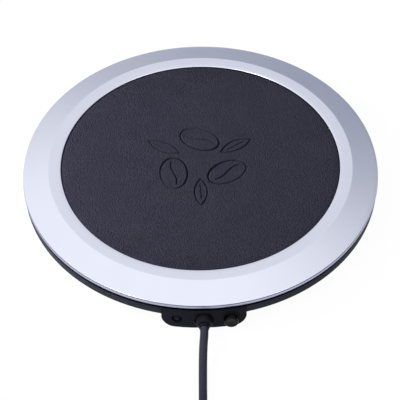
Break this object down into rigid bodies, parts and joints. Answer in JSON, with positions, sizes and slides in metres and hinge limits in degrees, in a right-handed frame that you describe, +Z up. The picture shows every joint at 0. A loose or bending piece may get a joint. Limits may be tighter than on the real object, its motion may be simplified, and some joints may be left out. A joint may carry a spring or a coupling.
{
  "type": "electric mug warmer",
  "caption": "Round low electric mug warmer with a leather-covered heated top, satin metal ring, push button, indicator lamp and a thin USB lead.",
  "frame": {"origin": "on the disc's axis at the table, at the centre of the non-slip ring's lower face", "axes": "+Z up along the disc's axis, -Y towards the port block, the button and the lead, +X to the right seen from the port block"},
  "size_m": [0.13, 0.2385, 0.015],
  "materials": {
    "housing_abs": "fine moulded grain",
    "frame_abs": "plain moulded",
    "satin_silver": "satin anodised",
    "pu_leather": "fine pebbled grain, blind embossed",
    "plate_aluminium": "milled",
    "heater_polyimide": "amber film",
    "felt": "needled felt",
    "tinplate": "rolled",
    "screw_steel": "zinc plated",
    "foot_rubber": "matt",
    "board_laminate": "solder mask",
    "switch_plastic": "moulded",
    "plunger_plastic": "moulded",
    "button_abs": "satin moulded",
    "spring_steel": "drawn wire",
    "led_epoxy": "clear moulded",
    "tinned_copper": "tinned",
    "relief_pvc": "soft moulded",
    "lead_pvc": "extruded, satin",
    "wire_pvc": "extruded",
    "cutout_ceramic": "potted",
    "tie_fabric": "woven strap",
    "plug_pvc": "overmoulded",
    "nickel_steel": "nickel plated",
    "tongue_plastic": "moulded",
    "contact_gold": "gold flash"
  },
  "bodies": {
    "housing": {"base_shell": "housing_abs", "top_frame": "frame_abs", "trim_ring": "satin_silver", "leather_pad": "pu_leather", "heating_plate": "plate_aluminium", "heater_film": "heater_polyimide", "insulation_pad": "felt", "backing_plate": "tinplate", "backing_screws": "screw_steel", "housing_screws": "screw_steel", "non_slip_ring": "foot_rubber", "circuit_board": "board_laminate", "switch_body": "switch_plastic", "button_spring": "spring_steel", "indicator_led": "led_epoxy", "led_legs": "tinned_copper", "strain_relief": "relief_pvc", "lead_end": "lead_pvc", "cord_clamp": "switch_plastic", "clamp_screws": "screw_steel", "supply_wires": "wire_pvc", "heater_wires": "wire_pvc", "thermal_cutout": "cutout_ceramic", "cutout_wires": "wire_pvc", "power_cord": "lead_pvc", "cord_coil": "lead_pvc", "cord_tail": "lead_pvc", "cord_tie": "tie_fabric", "plug_body": "plug_pvc", "plug_shell": "nickel_steel", "plug_tongue": "tongue_plastic", "plug_contacts": "contact_gold"},
    "button": {"button_cap": "button_abs", "switch_plunger": "plunger_plastic"}
  },
  "joints": [
    {"name": "button_press", "type": "slide", "parent": "housing", "child": "button", "axis": [0, 1, 0], "range_m": [0, 0.0012], "stiffness_N_per_m": 800, "springref_m": -0.0008, "deforming": ["button_spring"]}
  ]
}
